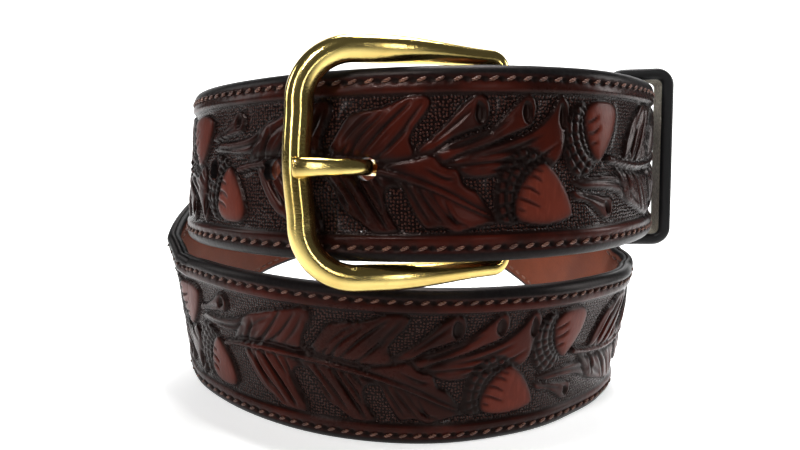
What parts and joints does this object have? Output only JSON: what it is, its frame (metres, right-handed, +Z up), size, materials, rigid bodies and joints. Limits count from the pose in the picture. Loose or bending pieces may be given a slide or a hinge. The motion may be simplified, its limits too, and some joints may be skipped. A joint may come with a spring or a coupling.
{
  "type": "western tooled leather belt",
  "caption": "Coiled tooled leather belt with a brass heel-bar buckle, prong, keeper, punched holes and stitched lining.",
  "frame": {"origin": "middle of the bounding box on the surface that the coiled belt stands on", "axes": "+Z up, the buckle faces -Y, +X to the right as seen from the buckle's side"},
  "size_m": [0.165, 0.1628, 0.1068],
  "materials": {
    "tooled_leather": "dark mahogany tooled leather, glossy, with black painted edges",
    "lining_leather": "smooth chestnut lining leather",
    "buckle_brass": "polished solid brass with light wear",
    "keeper_leather": "dark leather with black painted edges and a rough undyed inner face"
  },
  "bodies": {
    "root": {"strap": "tooled_leather", "lining": "lining_leather", "buckle_frame": "buckle_brass", "prong": "buckle_brass", "keeper": "keeper_leather"}
  },
  "joints": []
}
